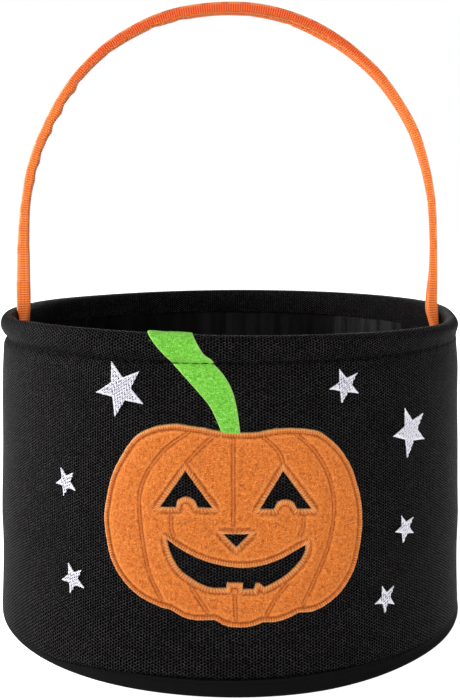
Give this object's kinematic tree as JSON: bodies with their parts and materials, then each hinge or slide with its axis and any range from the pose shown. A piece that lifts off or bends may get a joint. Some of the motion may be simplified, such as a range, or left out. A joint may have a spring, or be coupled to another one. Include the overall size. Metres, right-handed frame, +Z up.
{
  "type": "pumpkin candy bag",
  "caption": "Round open-topped cloth bag with a felt pumpkin face and embroidered stars on its side and one tall ribbon handle that swings over the rim.",
  "frame": {"origin": "on the floor under the middle of the bag", "axes": "+Z up, -Y out of the side with the pumpkin face, +X to the right of the face, along the hinge line of the handle"},
  "size_m": [0.2306, 0.232, 0.3049],
  "materials": {
    "side_cloth": "matt woven bird's-eye cloth",
    "lining": "smooth satin lining",
    "foam": "soft foam sheet",
    "board": "stiff plastic board",
    "binding": "folded cloth tape",
    "orange_felt": "brushed felt",
    "orange_thread": "satin stitch",
    "green_felt": "brushed felt",
    "white_thread": "satin stitch",
    "black_thread": "sewing thread",
    "ribbon": "ribbed ribbon",
    "core": "bent plastic strip"
  },
  "bodies": {
    "bag": {"base_binding": "binding", "base_board": "board", "base_panel": "side_cloth", "chin_left_crease": "orange_thread", "chin_middle_crease": "orange_thread", "chin_right_crease": "orange_thread", "floor_lining": "lining", "hem_stitch": "black_thread", "left_bar_tack": "black_thread", "left_cheek_crease": "orange_thread", "left_eye_border": "orange_thread", "left_handle_tab": "ribbon", "left_inner_crease": "orange_thread", "left_lower_star": "white_thread", "left_middle_star": "white_thread", "left_outer_crease": "orange_thread", "middle_crease": "orange_thread", "mouth_border": "orange_thread", "nose_border": "orange_thread", "pumpkin_border": "orange_thread", "pumpkin_felt": "orange_felt", "right_bar_tack": "black_thread", "right_cheek_crease": "orange_thread", "right_eye_border": "orange_thread", "right_handle_tab": "ribbon", "right_inner_crease": "orange_thread", "right_large_star": "white_thread", "right_lower_star": "white_thread", "right_middle_star": "white_thread", "right_outer_crease": "orange_thread", "side_lining": "lining", "side_shell": "side_cloth", "stem_felt": "green_felt", "stem_stitch": "black_thread", "upper_left_star": "white_thread", "upper_right_star": "white_thread", "wall_foam": "foam"},
    "handle": {"handle_sleeve": "ribbon", "handle_core": "core", "handle_seam": "ribbon"}
  },
  "joints": [
    {"name": "handle_swing", "type": "hinge", "parent": "bag", "child": "handle", "pos_m": [0, 0, 0.1519], "axis": [1, 0, 0], "range_deg": [-90, 90]}
  ]
}
